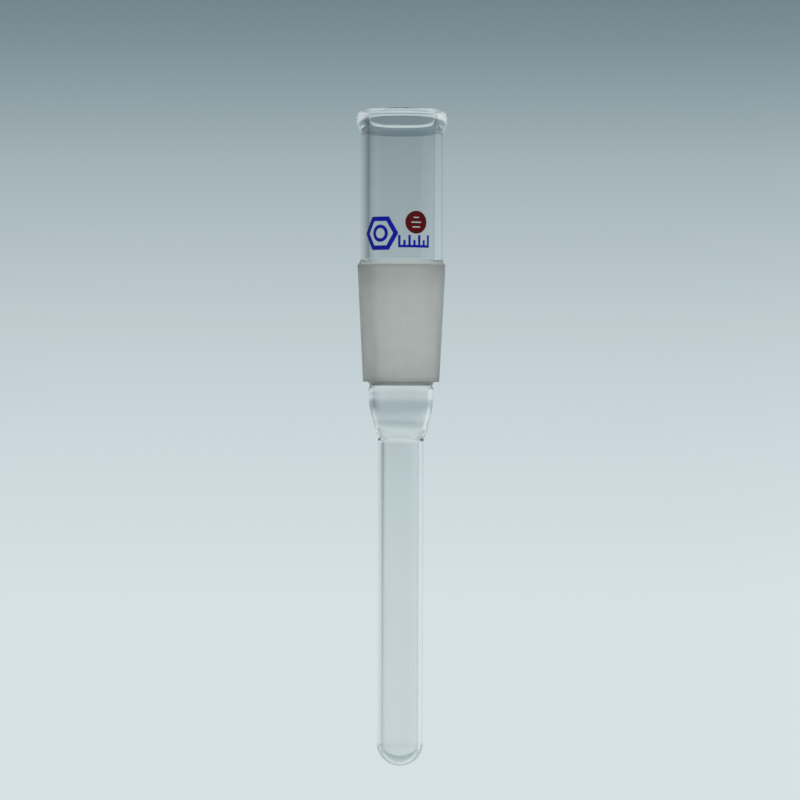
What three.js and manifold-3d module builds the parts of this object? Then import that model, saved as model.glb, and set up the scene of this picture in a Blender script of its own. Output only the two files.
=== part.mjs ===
// Glass thermometer pocket with a 24/29 ground male cone, blown from borosilicate glass.
// Units are millimetres and +Z is up. The origin lies on the axis, in the cone's 24 mm gauge plane.
// Each glass section is a closed ring that shares a plane with the next one, as fused glass does.
import * as THREE from "three";
import { mergeVertices } from "three/addons/utils/BufferGeometryUtils.js";
import Module from "manifold-3d";

// Standard 24/29 joint: 24 mm across at the gauge plane, 29 mm long, 1 mm of diameter in 10 mm.
const GAUGE_RADIUS = 12;
const JOINT_LENGTH = 29;
const RADIUS_TAPER = 1 / 20;
const GROUND_ABOVE = 1.8;
const GROUND_BELOW = 1.2;

// Wide tube above the joint, and its rim.
const TUBE_RADIUS = 11.35;
const TUBE_BORE = 9;
const SHOULDER_HEIGHT = 1.6;
const RIM_FOOT = 37.9;
const RIM_TOP = 44.4;
const RIM_RADIUS = 12.74;
const RIM_LAND_INNER = 10.8;
const RIM_LAND_OUTER = 11.3;

// Neck below the joint.
const NECK_BORE = 7.4;
const NECK_RADIUS = 8.95;
const NECK_TOP_RADIUS = 9.35;
const NECK_LENGTH = 12.7;
const NECK_END_RADIUS = 7.3;
const NECK_END_BORE = 6.13;

// Well: the closed tube that holds the thermometer.
const SEAL_HEIGHT = 4;
const WELL_RADIUS = 6.3;
const WELL_BORE = 4.8;
const WELL_REACH = 105.5;
const TIP_WALL = 1.07;

// Fired enamel prints, and their places on the wide tube. A bearing is counted from -Y towards +X.
const ENAMEL_GAP = 0.02;
const ENAMEL_THICKNESS = 0.1;
const HEXAGON = { bearing: -31, height: 10.2, apothem: 4.55, stroke: 1.25 };
const RING = { outer: 2.35, stroke: 0.95 };
const SCALE = { bearing: 18, height: 8, length: 9, rise: 3.4, baseline: 0.7, ticks: 7, tick: 0.65 };
const DOT = { bearing: 20.6, height: 13.2, radius: 3.1, bars: [1.6, 2.8, 2.2], barHeight: 0.35, barPitch: 1.3 };

const GLASS_SEGMENTS = 48;
const ENAMEL_SEGMENTS = 120;
const SPLINE_STEPS = 2;
const ARC_STEPS = 8;
const CIRCLE_POINTS = 32;

const CONE_TOP = GROUND_ABOVE;
const CONE_FOOT = -JOINT_LENGTH - GROUND_BELOW;
const SHOULDER_TOP = CONE_TOP + SHOULDER_HEIGHT;
const NECK_FOOT = CONE_FOOT - NECK_LENGTH;
const SEAL_FOOT = NECK_FOOT - SEAL_HEIGHT;
const WELL_END = CONE_FOOT - WELL_REACH;
const TIP_TOP = WELL_END + WELL_RADIUS;

const coneRadius = (z) => GAUGE_RADIUS + z * RADIUS_TAPER;
const radians = THREE.MathUtils.degToRad;

const clearGlass = { color: 0xd9e8ea, roughness: 0.04, metalness: 0, transparent: true, opacity: 0.35 };
const groundGlass = { color: 0xc9cec9, roughness: 0.75, metalness: 0 };
const blueEnamel = { color: 0x17278f, roughness: 0.4, metalness: 0 };
const redEnamel = { color: 0x4b0807, roughness: 0.4, metalness: 0 };

// The [radius, z] pairs themselves, joined by straight lines.
function straight(...pairs) {
  return pairs.map(([r, z]) => new THREE.Vector2(r, z));
}

// A smooth outline through [radius, z] pairs.
function smooth(pairs) {
  return new THREE.SplineCurve(straight(...pairs)).getPoints(SPLINE_STEPS * (pairs.length - 1));
}

// An arc about [radius, z], with its angles in degrees from the outward direction, rising towards +Z.
function arc([r, z], radius, from, to) {
  const curve = new THREE.EllipseCurve(r, z, radius, radius, radians(from), radians(to), to < from);
  return curve.getPoints(ARC_STEPS);
}

function named(name, geometry, look) {
  const mesh = new THREE.Mesh(geometry, new THREE.MeshStandardMaterial(look));
  mesh.name = name;
  return mesh;
}

// Turns an outline about +Z.
function revolve(outline, segments = GLASS_SEGMENTS) {
  return new THREE.LatheGeometry(outline, segments).rotateX(Math.PI / 2);
}

// A ring between two outlines, each listed from its foot to its top.
function ring(outside, inside, segments) {
  const loop = [...outside, ...[...inside].reverse()];
  return revolve([...loop, loop[0].clone()], segments);
}

// The rim thickens outwards into a bead and ends in a narrow flat land; its bore flares only at the lip.
function mouthRim() {
  const outside = smooth([
    [TUBE_RADIUS, RIM_FOOT],
    [TUBE_RADIUS + 0.21, RIM_FOOT + 0.9],
    [TUBE_RADIUS + 0.65, RIM_FOOT + 1.9],
    [RIM_RADIUS - 0.26, RIM_FOOT + 3.1],
    [RIM_RADIUS, RIM_FOOT + 4.2],
    [RIM_RADIUS - 0.12, RIM_TOP - 1.4],
    [RIM_RADIUS - 0.44, RIM_TOP - 0.7],
    [RIM_RADIUS - 0.94, RIM_TOP - 0.2],
    [RIM_LAND_OUTER, RIM_TOP],
  ]);
  const inside = smooth([
    [TUBE_BORE, RIM_FOOT],
    [TUBE_BORE + 0.12, RIM_FOOT + 1.2],
    [TUBE_BORE + 0.42, RIM_FOOT + 3.6],
    [TUBE_BORE + 0.48, RIM_TOP - 1.7],
    [TUBE_BORE + 0.7, RIM_TOP - 1],
    [TUBE_BORE + 1.2, RIM_TOP - 0.4],
    [RIM_LAND_INNER, RIM_TOP],
  ]);
  return named("mouth_rim", ring(outside, inside), clearGlass);
}

function mouthTube() {
  const outside = straight([TUBE_RADIUS, SHOULDER_TOP], [TUBE_RADIUS, RIM_FOOT]);
  const inside = straight([TUBE_BORE, SHOULDER_TOP], [TUBE_BORE, RIM_FOOT]);
  return named("mouth_tube", ring(outside, inside), clearGlass);
}

// Above the ground zone the polished glass draws in to the tube.
function coneShoulder() {
  const outside = smooth([
    [coneRadius(CONE_TOP), CONE_TOP],
    [coneRadius(CONE_TOP) - 0.42, CONE_TOP + 0.6],
    [TUBE_RADIUS, SHOULDER_TOP],
  ]);
  const inside = straight([TUBE_BORE, CONE_TOP], [TUBE_BORE, SHOULDER_TOP]);
  return named("cone_shoulder", ring(outside, inside), clearGlass);
}

function groundCone() {
  const outside = straight([coneRadius(CONE_FOOT), CONE_FOOT], [coneRadius(CONE_TOP), CONE_TOP]);
  const inside = straight([NECK_BORE, CONE_FOOT], [TUBE_BORE, CONE_TOP]);
  return named("ground_cone", ring(outside, inside), groundGlass);
}

// Below the cone's flat foot the neck has a waist, a slight belly, and then draws in towards the well.
function neck() {
  const outside = smooth([
    [NECK_END_RADIUS, NECK_FOOT],
    [NECK_END_RADIUS + 0.32, NECK_FOOT + 1.4],
    [NECK_RADIUS - 0.61, NECK_FOOT + 4],
    [NECK_RADIUS - 0.26, NECK_FOOT + 5.6],
    [NECK_RADIUS - 0.1, NECK_FOOT + 7.4],
    [NECK_RADIUS, NECK_FOOT + 9.2],
    [NECK_RADIUS - 0.09, CONE_FOOT - 1.9],
    [NECK_RADIUS - 0.3, CONE_FOOT - 0.9],
    [NECK_TOP_RADIUS, CONE_FOOT],
  ]);
  const inside = smooth([
    [NECK_END_BORE, NECK_FOOT],
    [NECK_END_BORE + 0.4, NECK_FOOT + 2],
    [NECK_BORE - 0.47, NECK_FOOT + 3.6],
    [NECK_BORE - 0.09, NECK_FOOT + 5.6],
    [NECK_BORE, NECK_FOOT + 7.8],
    [NECK_BORE + 0.1, CONE_FOOT - 2.5],
    [NECK_BORE, CONE_FOOT],
  ]);
  return named("neck", ring(outside, inside), clearGlass);
}

// Where the well is sealed on, the wall swells outwards and the bore opens into the neck.
function wellSeal() {
  const outside = smooth([
    [WELL_RADIUS, SEAL_FOOT],
    [WELL_RADIUS, SEAL_FOOT + 1],
    [WELL_RADIUS + 0.28, SEAL_FOOT + 1.8],
    [WELL_RADIUS + 0.67, SEAL_FOOT + 2.6],
    [NECK_END_RADIUS, NECK_FOOT],
  ]);
  const inside = smooth([
    [WELL_BORE, SEAL_FOOT],
    [WELL_BORE + 0.22, SEAL_FOOT + 1.2],
    [WELL_BORE + 0.43, SEAL_FOOT + 1.8],
    [WELL_BORE + 0.79, SEAL_FOOT + 2.5],
    [NECK_END_BORE, NECK_FOOT],
  ]);
  return named("well_seal", ring(outside, inside), clearGlass);
}

function wellTube() {
  const outside = straight([WELL_RADIUS, TIP_TOP], [WELL_RADIUS, SEAL_FOOT]);
  const inside = straight([WELL_BORE, TIP_TOP], [WELL_BORE, SEAL_FOOT]);
  return named("well_tube", ring(outside, inside), clearGlass);
}

// The closed end is round outside and inside, with its thinnest wall on the axis.
function wellTip() {
  const innerCentre = WELL_END + TIP_WALL + WELL_BORE;
  const outside = arc([0, TIP_TOP], WELL_RADIUS, -90, 0);
  const inside = arc([0, innerCentre], WELL_BORE, 0, -90);
  const lip = straight([WELL_BORE, TIP_TOP]);
  const outline = [...outside, ...lip, ...inside];
  outline[0].x = 0;
  outline[outline.length - 1].x = 0;
  return named("well_tip", revolve(outline), clearGlass);
}

const wasm = await Module();
wasm.setup();

function solidOf(geometry) {
  const bare = geometry.clone().deleteAttribute("normal").deleteAttribute("uv");
  const { attributes, index } = mergeVertices(bare);
  return new wasm.Manifold(
    new wasm.Mesh({ numProp: 3, vertProperties: attributes.position.array, triVerts: new Uint32Array(index.array) }),
  );
}

function geometryOf(solid) {
  const { vertProperties, triVerts } = solid.getMesh();
  const geometry = new THREE.BufferGeometry();
  geometry.setAttribute("position", new THREE.BufferAttribute(vertProperties, 3));
  geometry.setIndex(new THREE.BufferAttribute(triVerts, 1));
  geometry.computeVertexNormals();
  return geometry;
}

const ENAMEL_INNER = TUBE_RADIUS + ENAMEL_GAP;
const ENAMEL_OUTER = ENAMEL_INNER + ENAMEL_THICKNESS;
const enamelSleeve = solidOf(
  ring(
    straight([ENAMEL_OUTER, SHOULDER_TOP], [ENAMEL_OUTER, RIM_FOOT]),
    straight([ENAMEL_INNER, SHOULDER_TOP], [ENAMEL_INNER, RIM_FOOT]),
    ENAMEL_SEGMENTS,
  ),
);

// A print is the part of a thin sleeve round the tube that a flat figure covers when it faces the tube.
function enamel(name, shape, { bearing, height }, look) {
  const block = new THREE.ExtrudeGeometry(shape, { depth: 2 * TUBE_RADIUS, bevelEnabled: false });
  block.rotateX(Math.PI / 2).rotateZ(radians(bearing)).translate(0, 0, height);
  return named(name, geometryOf(enamelSleeve.intersect(solidOf(block))), look);
}

function polygon(sides, radius) {
  const corner = (i) => new THREE.Vector2(radius, 0).rotateAround(new THREE.Vector2(), (i * 2 * Math.PI) / sides);
  return Array.from({ length: sides }, (_, i) => corner(i));
}

// A figure with an even stroke: an outer polygon with a smaller one cut out of it.
function outlineShape(sides, radius, innerRadius) {
  const shape = new THREE.Shape(polygon(sides, radius));
  shape.holes.push(new THREE.Path(polygon(sides, innerRadius).reverse()));
  return shape;
}

function hexagonShape() {
  const toCorner = 1 / Math.cos(Math.PI / 6);
  return outlineShape(6, HEXAGON.apothem * toCorner, (HEXAGON.apothem - HEXAGON.stroke) * toCorner);
}

const ringShape = () => outlineShape(CIRCLE_POINTS, RING.outer, RING.outer - RING.stroke);

// A comb: a baseline with evenly spaced ticks, every other one shorter.
function scaleShape() {
  const { length, rise, baseline, ticks, tick } = SCALE;
  const left = -length / 2;
  const foot = -rise / 2;
  const pitch = (length - tick) / (ticks - 1);
  const shape = new THREE.Shape().moveTo(left, foot).lineTo(-left, foot);
  for (let i = ticks - 1; i >= 0; i -= 1) {
    const start = left + i * pitch;
    const top = foot + (i % 2 ? 0.6 * rise : rise);
    shape.lineTo(start + tick, foot + baseline).lineTo(start + tick, top);
    shape.lineTo(start, top).lineTo(start, foot + baseline);
  }
  return shape;
}

function dotShape() {
  const shape = new THREE.Shape(polygon(CIRCLE_POINTS, DOT.radius));
  DOT.bars.forEach((length, i) => {
    const foot = (1 - i) * DOT.barPitch - DOT.barHeight / 2;
    const half = length / 2;
    const corners = [[-half, foot], [-half, foot + DOT.barHeight], [half, foot + DOT.barHeight], [half, foot]];
    shape.holes.push(new THREE.Path(corners.map(([x, y]) => new THREE.Vector2(x, y))));
  });
  return shape;
}

const pocket = new THREE.Group();
pocket.name = "thermometer_pocket";
pocket.add(mouthRim(), mouthTube(), coneShoulder(), groundCone(), neck(), wellSeal(), wellTube(), wellTip());
pocket.add(enamel("print_hexagon", hexagonShape(), HEXAGON, blueEnamel));
pocket.add(enamel("print_ring", ringShape(), HEXAGON, blueEnamel));
pocket.add(enamel("print_scale", scaleShape(), SCALE, blueEnamel));
pocket.add(enamel("print_dot", dotShape(), DOT, redEnamel));

export default pocket;
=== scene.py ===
"""Glass thermometer pocket with a ground cone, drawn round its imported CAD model. Metres, +Z up."""

import math

import bpy
import numpy as np
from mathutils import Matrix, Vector, geometry


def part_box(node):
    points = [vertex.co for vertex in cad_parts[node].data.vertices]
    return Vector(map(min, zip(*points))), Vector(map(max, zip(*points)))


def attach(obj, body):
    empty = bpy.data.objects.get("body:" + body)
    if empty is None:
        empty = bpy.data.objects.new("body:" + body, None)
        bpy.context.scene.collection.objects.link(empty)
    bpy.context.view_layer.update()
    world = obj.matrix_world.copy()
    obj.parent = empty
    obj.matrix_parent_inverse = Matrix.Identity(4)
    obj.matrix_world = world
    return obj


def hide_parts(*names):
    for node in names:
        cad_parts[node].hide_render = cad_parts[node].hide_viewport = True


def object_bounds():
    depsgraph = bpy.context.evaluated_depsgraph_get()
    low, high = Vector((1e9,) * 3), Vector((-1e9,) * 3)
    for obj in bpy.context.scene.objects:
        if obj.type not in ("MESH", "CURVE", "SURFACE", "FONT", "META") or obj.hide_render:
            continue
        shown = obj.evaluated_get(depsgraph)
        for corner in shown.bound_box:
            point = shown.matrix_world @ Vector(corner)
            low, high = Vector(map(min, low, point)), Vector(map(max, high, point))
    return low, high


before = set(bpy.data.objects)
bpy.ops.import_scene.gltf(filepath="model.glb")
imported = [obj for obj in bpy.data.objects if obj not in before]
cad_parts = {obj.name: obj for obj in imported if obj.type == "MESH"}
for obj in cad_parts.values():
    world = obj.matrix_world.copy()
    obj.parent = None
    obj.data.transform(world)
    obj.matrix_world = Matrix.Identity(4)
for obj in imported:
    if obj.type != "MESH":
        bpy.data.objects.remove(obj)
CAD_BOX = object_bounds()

MM = 0.001

# ---------------------------------------------------------------- levels and radii, from the CAD boxes


def foot(node):
    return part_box(node)[0].z


def top(node):
    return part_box(node)[1].z


def radius(node):
    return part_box(node)[1].x


TUBE_R = radius("mouth_tube")
TUBE_BORE = TUBE_R - 2.35 * MM
RIM_R = radius("mouth_rim")
RIM_LAND_OUTER = 11.3 * MM
RIM_LAND_INNER = 10.8 * MM
CONE_R = radius("ground_cone")
RADIUS_TAPER = 1 / 20
CONE_FOOT_R = CONE_R - RADIUS_TAPER * (top("ground_cone") - foot("ground_cone"))
WELL_R = radius("well_tube")
WELL_BORE = WELL_R - 1.5 * MM
TIP_WALL = 1.07 * MM
NECK_R = 8.95 * MM
NECK_TOP_R = 9.35 * MM
NECK_BORE = 7.4 * MM
SEAL_R = radius("well_seal")
SEAL_BORE = SEAL_R - 1.17 * MM

# ---------------------------------------------------------------- camera

CAMERA_DISTANCE = 1.0
CAMERA_HEIGHT = foot("well_tip") + 0.1005
CAMERA_OFFSET = -0.00028
CAMERA_ROLL = math.radians(-0.21)
VIEW_WIDTH = 0.220
SENSOR = 36


def make_camera():
    data = bpy.data.cameras.new("camera")
    data.sensor_width = SENSOR
    data.lens = SENSOR * CAMERA_DISTANCE / VIEW_WIDTH
    data.clip_start, data.clip_end = 0.01, 20
    camera = bpy.data.objects.new("camera", data)
    camera.location = (CAMERA_OFFSET, -CAMERA_DISTANCE, CAMERA_HEIGHT)
    camera.rotation_euler = (math.pi / 2, CAMERA_ROLL, 0)
    bpy.context.scene.collection.objects.link(camera)
    bpy.context.scene.camera = camera


# ---------------------------------------------------------------- node helpers


def new_material(name):
    material = bpy.data.materials.new(name)
    material.use_nodes = True
    tree = material.node_tree
    return material, tree, tree.nodes["Principled BSDF"]


def add(tree, kind, inputs=None, **settings):
    """A node with its settings, and its inputs set or linked by name or number."""
    node = tree.nodes.new(kind)
    for key, value in settings.items():
        setattr(node, key, value)
    for key, value in (inputs or {}).items():
        if isinstance(value, bpy.types.NodeSocket):
            tree.links.new(value, node.inputs[key])
        else:
            node.inputs[key].default_value = value
    return node


def noise(tree, scale, stretch=(1, 1, 1), detail=3.0, rough=0.55):
    """Noise in the object's own coordinates, in metres, drawn out along an axis where stretch is small."""
    place = add(tree, "ShaderNodeTexCoord").outputs["Object"]
    mapped = add(tree, "ShaderNodeMapping", {"Vector": place, "Scale": stretch}).outputs["Vector"]
    inputs = {"Vector": mapped, "Scale": scale, "Detail": detail, "Roughness": rough}
    return add(tree, "ShaderNodeTexNoise", inputs).outputs["Fac"]


def compute(tree, operation, first, second=0.0, third=0.0):
    inputs = {0: first, 1: second, 2: third}
    return add(tree, "ShaderNodeMath", inputs, operation=operation).outputs["Value"]


def separate(tree, vector):
    """The X, Y and Z outputs of a vector."""
    return add(tree, "ShaderNodeSeparateXYZ", {0: vector}).outputs


def span(tree, value, low, high, start=0.3, end=0.7):
    """value from start..end mapped to low..high."""
    inputs = {"Value": value, "From Min": start, "From Max": end, "To Min": low, "To Max": high}
    return add(tree, "ShaderNodeMapRange", inputs).outputs["Result"]


def ramp(tree, value, stops):
    node = add(tree, "ShaderNodeValToRGB", {"Fac": value})
    elements = node.color_ramp.elements
    while len(elements) < len(stops):
        elements.new(0.5)
    for element, (position, colour) in zip(elements, stops):
        element.position = position
        element.color = (*colour, 1)
    return node.outputs["Color"]


def mix(tree, share, first, second, blend="MIX"):
    """Two colours mixed: inputs 6 and 7 and output 2 are the colour sockets of the Mix node."""
    inputs = {0: share, 6: first, 7: second}
    return add(tree, "ShaderNodeMix", inputs, data_type="RGBA", blend_type=blend).outputs[2]


def multiply(tree, first, second):
    return mix(tree, 1.0, first, second, "MULTIPLY")


def grey_ramp(tree, value, stops, low, high):
    """A grey level that depends on value, with stops given as (value, level)."""
    place = [(stop - low) / (high - low) for stop, _ in stops]
    colours = [(level,) * 3 for _, level in stops]
    return ramp(tree, span(tree, value, 0, 1, low, high), list(zip(place, colours)))


def bump(tree, shader, height, strength, distance):
    made = add(tree, "ShaderNodeBump", {"Height": height, "Strength": strength, "Distance": distance})
    tree.links.new(made.outputs["Normal"], shader.inputs["Normal"])


def linear(red, green, blue):
    """A colour given as display values from 0 to 255, as linear light."""
    display = [v / 255 for v in (red, green, blue)]
    return tuple(v / 12.92 if v <= 0.04045 else ((v + 0.055) / 1.055) ** 2.4 for v in display)


# ---------------------------------------------------------------- materials

GLASS_IOR = 1.474

# Painted shade on the ground zone, as a brightness by height in millimetres: darker towards its top and along
# its lower edge.
GROUND_SHADE = [
    (-30.2, 0.82), (-29.4, 0.88), (-28.8, 1), (-5, 1), (-1.2, 0.9), (0.3, 0.84), (1.1, 0.68), (1.8, 0.52),
]
GROUND_SHADE_SPAN = (-32, 4)


def clear_glass():
    """Drawn borosilicate tube: faint lengthwise striations, and a film of handling marks."""
    material, tree, shader = new_material("clear_glass")
    shader.inputs["Transmission Weight"].default_value = 1
    shader.inputs["IOR"].default_value = GLASS_IOR
    smudges = noise(tree, 60, detail=5)
    tree.links.new(span(tree, smudges, 0.0, 0.03, 0.45, 0.75), shader.inputs["Roughness"])
    colour = ramp(tree, noise(tree, 25), [(0.3, (0.9, 0.915, 0.915)), (0.7, (0.92, 0.935, 0.932))])
    tree.links.new(colour, shader.inputs["Base Color"])
    bump(tree, shader, noise(tree, 900, stretch=(1, 1, 0.02), detail=2), 0.12, 0.02 * MM)
    return material


def fused_joint():
    """Where two sections are one glass there is no surface for light to meet."""
    material, tree, shader = new_material("fused_joint")
    shader.inputs["Alpha"].default_value = 0
    tree.links.new(span(tree, noise(tree, 40), 0.0, 0.02), shader.inputs["Roughness"])
    return material


def ground_glass():
    """Abrasive-ground surface: a matt white-grey skin of tiny pits, with fine turning marks."""
    material, tree, shader = new_material("ground_glass")
    shader.inputs["IOR"].default_value = GLASS_IOR
    shader.inputs["Transmission Weight"].default_value = 0.9
    grain = noise(tree, 9000, detail=2)
    cloud = noise(tree, 260, detail=6, rough=0.65)
    turning = noise(tree, 500, stretch=(0.15, 0.15, 6), detail=3)
    colour = ramp(tree, cloud, [(0.3, linear(236, 229, 222)), (0.7, linear(246, 240, 232))])
    height = separate(tree, add(tree, "ShaderNodeTexCoord").outputs["Object"])["Z"]
    low, high = (z * MM for z in GROUND_SHADE_SPAN)
    # Painted shade: the base colour is multiplied darker towards the top of the ground zone and along its
    # lower edge.
    painted_shade = grey_ramp(tree, height, [(z * MM, level) for z, level in GROUND_SHADE], low, high)
    tree.links.new(multiply(tree, colour, painted_shade), shader.inputs["Base Color"])
    tree.links.new(span(tree, turning, 0.36, 0.52), shader.inputs["Roughness"])
    bump(tree, shader, compute(tree, "ADD", grain, turning), 0.35, 0.05 * MM)
    return material


def enamel(name, colour, dark):
    """Fired print: a thin half-gloss coat, a little uneven in thickness."""
    material, tree, shader = new_material(name)
    shader.inputs["Specular IOR Level"].default_value = 0.25
    coat = noise(tree, 900, detail=5)
    tree.links.new(ramp(tree, coat, [(0.35, dark), (0.65, colour)]), shader.inputs["Base Color"])
    tree.links.new(span(tree, noise(tree, 2500), 0.3, 0.5), shader.inputs["Roughness"])
    bump(tree, shader, coat, 0.4, 0.02 * MM)
    return material


# ---------------------------------------------------------------- outlines of the glass


def unit(direction):
    direction = np.array(direction, float)
    return direction / np.linalg.norm(direction)


def spline(points, leaves, arrives):
    """A smooth outline through (radius, z) points, with its direction given at both ends.

    The outline is a function of 0..1, as those of line and arc are."""
    points = np.array(points, float)
    steps = np.linalg.norm(np.diff(points, axis=0), axis=1)
    knots = np.concatenate([[0], np.cumsum(steps)])
    count = len(points)
    left, right = np.eye(count), np.zeros((count, 2))
    right[0], right[-1] = unit(leaves), unit(arrives)
    for i in range(1, count - 1):
        before, after = steps[i - 1], steps[i]
        left[i, i - 1 : i + 2] = after, 2 * (before + after), before
        rise, fall = points[i] - points[i - 1], points[i + 1] - points[i]
        right[i] = 3 * (after / before * rise + before / after * fall)
    slopes = np.linalg.solve(left, right)

    def at(t):
        s = np.asarray(t, float) * knots[-1]
        k = np.clip(np.searchsorted(knots, s, side="right") - 1, 0, count - 2)
        h = steps[k][:, None]
        u = ((s - knots[k]) / steps[k])[:, None]
        return (
            (1 + 2 * u) * (1 - u) ** 2 * points[k]
            + u * (1 - u) ** 2 * h * slopes[k]
            + u**2 * (3 - 2 * u) * points[k + 1]
            + u**2 * (u - 1) * h * slopes[k + 1]
        )

    return at


def line(start, end):
    start, end = np.array(start, float), np.array(end, float)
    return lambda t: start + np.outer(np.asarray(t, float), end - start)


def arc(level, size, start, end):
    """Part of a circle about the axis at a level; angles are in degrees from the outward direction."""

    def at(t):
        angle = np.radians(start + (end - start) * np.asarray(t, float))
        return (0, level) + size * np.stack([np.cos(angle), np.sin(angle)], axis=1)

    return at


UP = (0, 1)


def from_foot(node, *pairs):
    """(radius, z) points, where each z is given in millimetres above the node's foot."""
    return [(r, foot(node) + z * MM) for r, z in pairs]


# ---------------------------------------------------------------- outlines of the sections, from foot to top

SEAL_LEAN = (0.25, 1)


def rim_outlines():
    """A fire-polished bead: the tube thickens outwards, and its bore flares only at the lip."""
    t, b = TUBE_R, TUBE_BORE
    outer = from_foot(
        "mouth_rim",
        (t, 0), (t + 0.21 * MM, 0.9), (t + 0.65 * MM, 1.9), (t + 1.13 * MM, 3.1), (RIM_R, 4.2),
        (RIM_R - 0.12 * MM, 5.1), (RIM_R - 0.44 * MM, 5.8), (RIM_R - 0.94 * MM, 6.3), (RIM_LAND_OUTER, 6.5),
    )
    inner = from_foot(
        "mouth_rim",
        (b, 0), (b + 0.12 * MM, 1.2), (b + 0.3 * MM, 2.2), (b + 0.42 * MM, 3.6), (b + 0.48 * MM, 4.8),
        (b + 0.7 * MM, 5.5), (b + 1.2 * MM, 6.1), (RIM_LAND_INNER, 6.5),
    )
    return spline(outer, UP, (-1, 0.1)), spline(inner, UP, (0.8, 1))


def tube_outlines(node, outer, inner):
    low, high = foot(node), top(node)
    return line((outer, low), (outer, high)), line((inner, low), (inner, high))


def shoulder_outlines():
    """Above the ground zone the polished glass draws in to the tube."""
    outer = from_foot("cone_shoulder", (CONE_R, 0), (CONE_R - 0.42 * MM, 0.6), (TUBE_R, 1.6))
    low, high = foot("cone_shoulder"), top("cone_shoulder")
    return spline(outer, (-0.7, 1), UP), line((TUBE_BORE, low), (TUBE_BORE, high))


def cone_outlines():
    """Straight outside, as ground; its bore blends from the neck's to the tube's."""
    low, high = foot("ground_cone"), top("ground_cone")
    return line((CONE_FOOT_R, low), (CONE_R, high)), spline([(NECK_BORE, low), (TUBE_BORE, high)], UP, UP)


def neck_outlines():
    """A slightly bellied neck with a waist under the cone, tapering down to the seal."""
    n = NECK_R
    outer = from_foot(
        "neck",
        (SEAL_R, 0), (SEAL_R + 0.32 * MM, 1.4), (n - 0.61 * MM, 4), (n - 0.26 * MM, 5.6), (n - 0.1 * MM, 7.4),
        (n, 9.2), (n - 0.09 * MM, 10.8), (n - 0.3 * MM, 11.8), (NECK_TOP_R, 12.7),
    )
    b = NECK_BORE
    inner = from_foot(
        "neck",
        (SEAL_BORE, 0), (SEAL_BORE + 0.4 * MM, 2), (b - 0.47 * MM, 3.6), (b - 0.09 * MM, 5.6), (b, 7.8),
        (b + 0.1 * MM, 10.2), (b, 12.7),
    )
    return spline(outer, SEAL_LEAN, (1, 0.15)), spline(inner, SEAL_LEAN, UP)


def seal_outlines():
    """Where the well is sealed to the neck the wall thickens, then opens into the neck."""
    w, b = WELL_R, WELL_BORE
    outer = from_foot("well_seal", (w, 0), (w, 1), (w + 0.28 * MM, 1.8), (w + 0.67 * MM, 2.6), (SEAL_R, 4))
    inner = from_foot(
        "well_seal", (b, 0), (b + 0.22 * MM, 1.2), (b + 0.43 * MM, 1.8), (b + 0.79 * MM, 2.5), (SEAL_BORE, 4)
    )
    return spline(outer, UP, SEAL_LEAN), spline(inner, UP, SEAL_LEAN)


def tip_outlines():
    """A closed round end. The bore's hemisphere has its centre a little lower than the outer one's."""
    low, high = foot("well_tip"), top("well_tip")
    outer = arc(high, WELL_R, -90, 0)
    bowl = arc(low + TIP_WALL + WELL_BORE, WELL_BORE, -90, 0)
    inner = spline([*bowl(np.linspace(0, 1, 9)), (WELL_BORE, high)], (1, 0), UP)
    return outer, inner


# ---------------------------------------------------------------- meshes of revolution

SEGMENTS = 160
NUDGE = 1e-4
POLE_SIZE = 1e-16

# How far the hand-worked places stray from true, and how far along the axis each of them reaches.
SEAL_UNROUND, SEAL_REACH = 0.10 * MM, 3.2 * MM
RIM_UNROUND, RIM_REACH = 0.05 * MM, 5 * MM
SEAL_SLOPE, SLOPE_REACH = 0.06, 3 * MM
AXIS_CALM = 2 * MM
FROSTED_ROWS = 7


def near(height, level, reach):
    return np.exp(-(((height - level) / reach) ** 2))


def swell(height, angle):
    """How far the hand-worked glass at the seal and the mouth stands proud of a true circle."""
    seal = near(height, top("well_seal"), SEAL_REACH)
    rim = near(height, top("mouth_rim"), RIM_REACH)
    lobes = 0.6 * np.sin(2 * angle + 0.7) + 0.4 * np.sin(3 * angle - 1.1)
    return SEAL_UNROUND * seal * lobes + RIM_UNROUND * rim * np.sin(2 * angle + 2.1)


def wall(outline, t, angles):
    """Points of a wall, one row for each t, as (rows, segments, 3). The seal lies a little aslant."""
    r, z = outline(t).T
    r, z, a = r[:, None], z[:, None], angles[None, :]
    r = r + swell(z, a) * np.clip(r / AXIS_CALM, 0, 1)
    slope = SEAL_SLOPE * near(z, foot("neck"), SLOPE_REACH)
    return np.stack([r * np.sin(a), -r * np.cos(a), z - slope * r * np.sin(a)], axis=2)


def wall_with_normals(outline, rows, facing):
    """The wall's points and its unit normals, outward for facing 1 and inward for -1.

    A ring at the pole has no size to take a normal from, so it gets the axis."""
    t = np.linspace(0, 1, rows + 1)
    angles = np.arange(SEGMENTS) * 2 * math.pi / SEGMENTS
    along = wall(outline, t + NUDGE, angles) - wall(outline, t - NUDGE, angles)
    around = wall(outline, t, angles + NUDGE) - wall(outline, t, angles - NUDGE)
    normals = facing * np.cross(around, along)
    sizes = np.linalg.norm(normals, axis=2, keepdims=True)
    axis = facing * np.array([0, 0, -1.0])
    return wall(outline, t, angles), np.where(sizes > POLE_SIZE, normals / np.maximum(sizes, POLE_SIZE), axis)


def figure(sides, size, turn=0.0):
    """The corners of a regular figure, or of a circle when it has many sides."""
    angles = turn + np.arange(sides) * 2 * math.pi / sides
    return size * np.stack([np.cos(angles), np.sin(angles)], axis=1)


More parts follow.
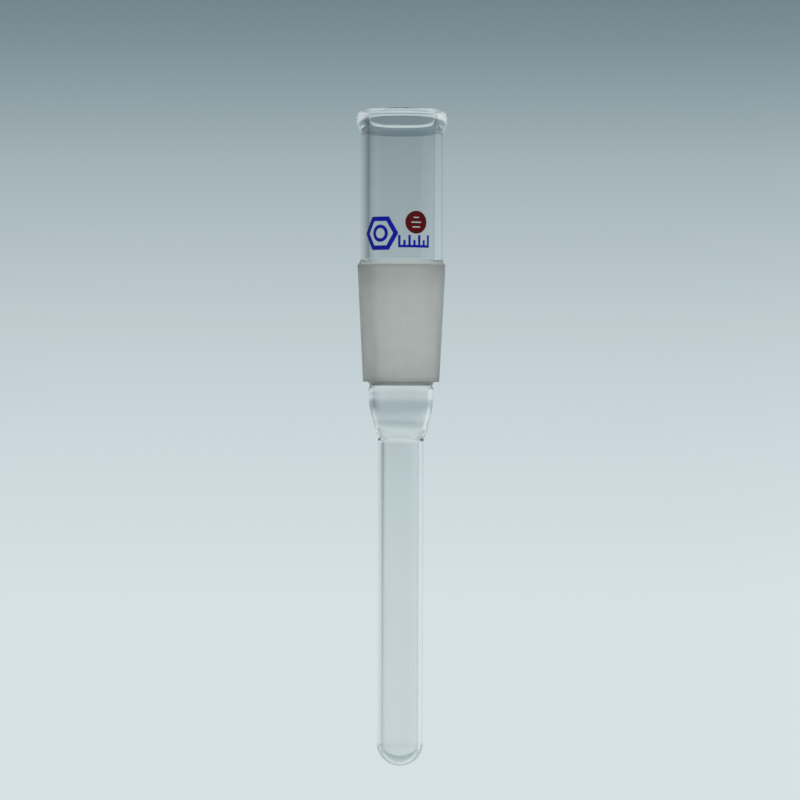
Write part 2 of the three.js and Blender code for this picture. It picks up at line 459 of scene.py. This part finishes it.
class Mesh:
    """Collects points and faces, each face with its material and a normal for each corner."""

    def __init__(self):
        self.points, self.faces, self.slots, self.normals = [], [], [], []

    def add_ring(self, ring):
        start = len(self.points)
        self.points.extend(ring)
        return [start + i for i in range(len(ring))]

    def add_pole(self, ring):
        self.points.append(ring.mean(axis=0))
        return [len(self.points) - 1] * len(ring)

    def bridge(self, low, high, low_normals, high_normals, slot):
        """Faces between two rings, anticlockwise seen from above. They face outwards if low is below."""
        count = len(low)
        for i in range(count):
            j = (i + 1) % count
            corners = [(low[i], low_normals[i]), (low[j], low_normals[j])]
            corners += [(high[j], high_normals[j]), (high[i], high_normals[i])]
            kept = [c for n, c in enumerate(corners) if c[0] != corners[n - 1][0]]
            self.faces.append([c[0] for c in kept])
            self.normals.extend(c[1] for c in kept)
            self.slots.append(slot)

    def build(self, name, materials):
        data = bpy.data.meshes.new(name)
        data.from_pydata([tuple(p) for p in self.points], [], self.faces)
        for material in materials:
            data.materials.append(material)
        data.polygons.foreach_set("material_index", self.slots)
        data.polygons.foreach_set("use_smooth", [True] * len(self.faces))
        data.normals_split_custom_set([tuple(n) for n in self.normals])
        data.update()
        piece = bpy.data.objects.new(name, data)
        bpy.context.scene.collection.objects.link(piece)
        return piece


def glass_section(
    name, outlines, rows, materials, ends=("fused", "fused"), slots=(0, 0), ledge=None, frost=0
):
    """One closed ring of glass. ends says how its foot and top close: fused, land or pole.

    slots says which materials the outer and the inner wall take. The last material is for the fused faces.
    A foot with a ledge is fused only as far out as that radius, and polished beyond it.
    The topmost rows of the outer wall, as many as frost says, take the material in slot 1."""
    mesh = Mesh()
    sides = []
    for outline, facing in zip(outlines, (1, -1)):
        points, normals = wall_with_normals(outline, rows, facing)
        rings = [mesh.add_ring(ring) for ring in points[1:]]
        first = mesh.add_pole(points[0]) if ends[0] == "pole" else mesh.add_ring(points[0])
        sides.append(([first, *rings], normals))
    (outer, outer_normals), (inner, inner_normals) = sides
    for k in range(rows):
        outer_slot = 1 if k >= rows - frost else slots[0]
        mesh.bridge(outer[k], outer[k + 1], outer_normals[k], outer_normals[k + 1], outer_slot)
        mesh.bridge(inner[k + 1], inner[k], inner_normals[k + 1], inner_normals[k], slots[1])
    fused = len(materials) - 1
    up, down = np.tile([0, 0, 1.0], (SEGMENTS, 1)), np.tile([0, 0, -1.0], (SEGMENTS, 1))
    mesh.bridge(outer[-1], inner[-1], up, up, 0 if ends[1] == "land" else fused)
    if ledge:
        circle = figure(SEGMENTS, ledge, -math.pi / 2)
        step = mesh.add_ring(np.column_stack([circle, np.full(SEGMENTS, outlines[0](0)[0, 1])]))
        mesh.bridge(inner[0], step, down, down, fused)
        mesh.bridge(step, outer[0], down, down, slots[1])
    elif ends[0] != "pole":
        mesh.bridge(inner[0], outer[0], down, down, fused)
    return mesh.build(name, materials)


def make_glass(clear, ground, fused):
    tube = tube_outlines("mouth_tube", TUBE_R, TUBE_BORE)
    well = tube_outlines("well_tube", WELL_R, WELL_BORE)
    sections = [
        ("mouth_rim", rim_outlines(), 60, ("fused", "land")),
        ("mouth_tube", tube, 12, ("fused", "fused")),
        ("cone_shoulder", shoulder_outlines(), 32, ("fused", "fused")),
        ("well_seal", seal_outlines(), 24, ("fused", "fused")),
        ("well_tube", well, 16, ("fused", "fused")),
        ("well_tip", tip_outlines(), 48, ("pole", "fused")),
    ]
    for node, outlines, rows, ends in sections:
        piece = glass_section("glass_" + node, outlines, rows, [clear, fused], ends)
        place(piece, node, "clear_glass")
    neck = glass_section("glass_neck", neck_outlines(), 80, [clear, ground, fused], frost=FROSTED_ROWS)
    place(neck, "neck", "clear_glass")
    cone = glass_section(
        "glass_ground_cone", cone_outlines(), 24, [ground, clear, fused], slots=(0, 1), ledge=NECK_TOP_R
    )
    place(cone, "ground_cone", "ground_glass")


def place(piece, node, slot):
    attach(piece, "root")
    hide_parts(node)


# ---------------------------------------------------------------- enamel prints

COAT = 0.03 * MM
SINK = 0.015 * MM
GRID = 0.35 * MM

# Sizes of the figures, in millimetres.
HEXAGON_STROKE = 1.25
RING_STROKE = 0.95
DOT_BARS, DOT_BAR_RISE, DOT_BAR_PITCH = (1.6, 2.8, 2.2), 0.35, 1.3
COMB_LENGTH, COMB_RISE, COMB_BASELINE = 9, 3.4, 0.7
COMB_TICKS, COMB_TICK, COMB_SHORT = 7, 0.65, 0.6


def finely(loop):
    """The loop with points added so that no edge is longer than the grid."""
    made = []
    for start, end in zip(loop, np.roll(loop, -1, axis=0)):
        count = max(1, math.ceil(np.linalg.norm(end - start) / GRID))
        made.extend(start + (end - start) * i / count for i in range(count))
    return np.array(made)


def inside(point, loops):
    """True where a point lies inside an odd number of loops."""
    crossings = 0
    for loop in loops:
        for (x1, y1), (x2, y2) in zip(loop, np.roll(loop, -1, axis=0)):
            if (y1 > point[1]) != (y2 > point[1]):
                crossings += point[0] < x1 + (point[1] - y1) * (x2 - x1) / (y2 - y1)
    return crossings % 2 == 1


def print_piece(name, node, loops, slot, material):
    """A flat figure, wrapped round the tube about the CAD print's own bearing and height."""
    low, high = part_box(node)
    middle = (low + high) / 2
    bearing = math.atan2(middle.x, -middle.y)
    loops = [finely(np.array(loop, float)) for loop in loops]
    points, edges = [], []
    for loop in loops:
        first = len(points)
        points.extend(Vector(p) for p in loop)
        edges.extend((first + i, first + (i + 1) % len(loop)) for i in range(len(loop)))
    reach = np.abs(loops[0]).max()
    ticks = np.arange(-reach, reach, GRID)
    points.extend(Vector((x, y)) for x in ticks for y in ticks if inside((x, y), loops))
    flat, _, triangles, *_ = geometry.delaunay_2d_cdt(points, edges, [], 0, 1e-7)
    kept = [t for t in triangles if inside(sum((flat[i] for i in t), Vector((0, 0))) / 3, loops)]

    def wrap(point, distance):
        angle = bearing + point.x / TUBE_R
        return (distance * math.sin(angle), -distance * math.cos(angle), middle.z + point.y)

    data = bpy.data.meshes.new(name)
    data.from_pydata([wrap(p, TUBE_R - SINK) for p in flat], [], kept)
    data.materials.append(material)
    piece = bpy.data.objects.new(name, data)
    bpy.context.scene.collection.objects.link(piece)
    thick = piece.modifiers.new("coat", "SOLIDIFY")
    thick.thickness, thick.offset = COAT + SINK, 1
    place(piece, node, slot)


def bar(length, height):
    half, edge = length / 2, DOT_BAR_RISE / 2
    low, high = height - edge, height + edge
    return np.array([(-half, low), (half, low), (half, high), (-half, high)]) * MM


def comb():
    """A baseline with ticks, every other one shorter."""
    left, low = -COMB_LENGTH / 2, -COMB_RISE / 2
    shelf = low + COMB_BASELINE
    corners = [(left, low), (-left, low)]
    for i in reversed(range(COMB_TICKS)):
        start = left + i * (COMB_LENGTH - COMB_TICK) / (COMB_TICKS - 1)
        end = start + COMB_TICK
        high = low + (COMB_SHORT * COMB_RISE if i % 2 else COMB_RISE)
        corners += [(end, shelf), (end, high), (start, high), (start, shelf)]
    return np.array(corners) * MM


def make_prints(blue, red):
    low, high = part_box("print_hexagon")
    apothem = (high.z - low.z) / 2
    corner = 1 / math.cos(math.pi / 6)
    hexagon = [figure(6, apothem * corner), figure(6, (apothem - HEXAGON_STROKE * MM) * corner)]
    print_piece("enamel_hexagon", "print_hexagon", hexagon, "blue_enamel", blue)
    low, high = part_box("print_ring")
    size = (high.z - low.z) / 2
    ring = [figure(40, size), figure(40, size - RING_STROKE * MM)]
    print_piece("enamel_ring", "print_ring", ring, "blue_enamel", blue)
    print_piece("enamel_scale", "print_scale", [comb()], "blue_enamel", blue)
    low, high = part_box("print_dot")
    bars = [bar(length, (1 - i) * DOT_BAR_PITCH) for i, length in enumerate(DOT_BARS)]
    print_piece("enamel_dot", "print_dot", [figure(48, (high.z - low.z) / 2), *bars], "red_enamel", red)


# ---------------------------------------------------------------- studio

# Directions are the parts of a unit vector: the top edge of the view lies at this height.
VIEW_EDGE = math.sin(math.atan(VIEW_WIDTH / 2 / CAMERA_DISTANCE))

# Display colour of the backdrop across the view, from its lower edge at 0 to its upper edge at 1.
BACKDROP = [
    (0.0, (214, 225, 227)), (0.25, (214, 225, 228)), (0.4, (205, 218, 222)), (0.5, (199, 211, 216)),
    (0.6, (190, 204, 208)), (0.7, (178, 192, 197)), (0.8, (162, 178, 183)), (0.88, (143, 160, 166)),
    (0.95, (126, 143, 150)), (1.0, (116, 133, 140)),
]

# Levels by height above the view, and in front of the pocket, where the room is dark over a pale floor.
OVERHEAD = [(VIEW_EDGE, 1), (0.2, 1.1), (0.35, 0.95), (0.55, 0.9), (0.8, 1.3), (1, 0.9)]
ROOM = [(-0.06, 1.1), (0.03, 0.22), (0.3, 0.24), (0.7, 1.4)]
ROOM_EDGE = [(-0.35, 1), (-0.1, 0)]

# Levels by bearing, in degrees from straight behind the pocket: a wide flag on the left and a narrow one on
# the right. Both end below the horizon, at SIDES_FOOT.
SIDES = [
    (-88, 1), (-80, 0.25), (-62, 0.3), (-52, 0.48), (-45, 0.56), (-37, 0.66), (-29, 0.76), (-21, 0.86),
    (-13, 0.95), (-5, 1), (5, 1), (13, 1.08), (25, 1.12), (45, 1.12), (53, 1.05), (57, 0.65), (65, 0.65),
    (85, 0.8),
]
SIDES_FOOT = [(-0.2, 0), (-0.14, 1)]

# Below the horizon the left flag draws back from the middle: its bearing, as a share of its reach, is raised
# to a power that grows from 1 at the horizon to FLAG_POWER at FLAG_DEPTH.
FLAG_REACH = 80
FLAG_POWER = 2.3
FLAG_DEPTH = -0.08

WHITE = (1, 1, 1, 1)


def flag_bearing(tree, direction):
    """The bearing that the sides are read at, in degrees."""
    bearing = compute(tree, "DEGREES", compute(tree, "ARCTAN2", direction["X"], direction["Y"]))
    left = compute(tree, "MAXIMUM", compute(tree, "MULTIPLY", bearing, -1 / FLAG_REACH))
    drawn_in = compute(tree, "POWER", left, span(tree, direction["Z"], FLAG_POWER, 1, FLAG_DEPTH, 0))
    right = compute(tree, "MAXIMUM", bearing)
    return compute(tree, "MULTIPLY_ADD", drawn_in, -FLAG_REACH, right)


def make_world():
    """A grey-blue studio backdrop that pales towards the floor, with dim flags at the sides of the glass."""
    world = bpy.data.worlds.new("studio")
    bpy.context.scene.world = world
    world.use_nodes = True
    tree = world.node_tree
    direction = separate(tree, add(tree, "ShaderNodeTexCoord").outputs["Generated"])
    height = span(tree, direction["Z"], 0, 1, -VIEW_EDGE, VIEW_EDGE)
    backdrop = ramp(tree, height, [(at, linear(*colour)) for at, colour in BACKDROP])
    tall = multiply(tree, backdrop, grey_ramp(tree, direction["Z"], OVERHEAD, 0, 1))
    sides = grey_ramp(tree, flag_bearing(tree, direction), SIDES, -180, 180)
    flags = mix(tree, grey_ramp(tree, direction["Z"], SIDES_FOOT, -1, 1), WHITE, sides)
    room = grey_ramp(tree, direction["Z"], ROOM, -1, 1)
    front = mix(tree, grey_ramp(tree, direction["Y"], ROOM_EDGE, -1, 1), WHITE, room)
    light = multiply(tree, multiply(tree, tall, flags), front)
    tree.links.new(light, tree.nodes["Background"].inputs["Color"])


FLOOR_SIZE = 1.15
FLOOR_DROP = 0.15
FLOOR_EDGE = 0.35
FLOOR_SEGMENTS = 96


def make_floor():
    """A plain pale disc well below the pocket, with a soft edge that melts into the backdrop."""
    mesh = Mesh()
    normals = np.tile([0, 0, 1.0], (FLOOR_SEGMENTS, 1))
    level = np.full(FLOOR_SEGMENTS, foot("well_tip") - FLOOR_DROP)
    rings = [figure(FLOOR_SEGMENTS, FLOOR_SIZE * share) for share in (1, 0.6, 0.25)]
    points = [np.column_stack([ring, level]) for ring in rings]
    loops = [mesh.add_ring(ring) for ring in points] + [mesh.add_pole(points[-1])]
    for low, high in zip(loops, loops[1:]):
        mesh.bridge(low, high, normals, normals, 0)
    material, tree, shader = new_material("floor")
    shader.inputs["Base Color"].default_value = (*linear(222, 230, 231), 1)
    shader.inputs["Roughness"].default_value = 0.8
    place = separate(tree, add(tree, "ShaderNodeTexCoord").outputs["Object"])
    flat = add(tree, "ShaderNodeCombineXYZ", {0: place["X"], 1: place["Y"]}).outputs[0]
    distance = add(tree, "ShaderNodeVectorMath", {0: flat}, operation="LENGTH").outputs["Value"]
    alpha = span(tree, distance, 1, 0, FLOOR_SIZE - FLOOR_EDGE, FLOOR_SIZE)
    tree.links.new(alpha, shader.inputs["Alpha"])
    floor = mesh.build("floor", [material])


SOFTBOX_SIZE = 0.8


def make_softbox(name, place, energy):
    """A soft square lamp that lights the prints and the floor, and can't be seen in or through the glass."""
    data = bpy.data.lights.new(name, "AREA")
    data.energy = energy
    data.size = SOFTBOX_SIZE
    light = bpy.data.objects.new(name, data)
    light.location = place
    middle = sum(CAD_BOX, Vector()) / 2
    light.rotation_euler = (middle - Vector(place)).to_track_quat("-Z", "Y").to_euler()
    light.visible_glossy = light.visible_transmission = False
    bpy.context.scene.collection.objects.link(light)


LIGHT_BOUNCES = 32


def set_light_paths():
    """Enough bounces for light to find its way through all the walls of glass."""
    scene = bpy.context.scene
    scene.view_settings.view_transform = "Standard"
    scene.cycles.max_bounces = LIGHT_BOUNCES
    scene.cycles.transmission_bounces = LIGHT_BOUNCES
    scene.cycles.glossy_bounces = LIGHT_BOUNCES
    scene.cycles.transparent_max_bounces = LIGHT_BOUNCES
    scene.cycles.use_denoising = True


def main():
    make_camera()
    make_glass(clear_glass(), ground_glass(), fused_joint())
    blue = enamel("blue_enamel", linear(1, 14, 142), linear(0, 8, 120))
    red = enamel("red_enamel", linear(80, 1, 1), linear(62, 0, 0))
    make_prints(blue, red)
    make_world()
    make_floor()
    make_softbox("softbox_front", (0.15, -0.8, 0.9), 14)
    make_softbox("softbox_top", (0.15, -0.2, 1.2), 9)
    set_light_paths()


main()
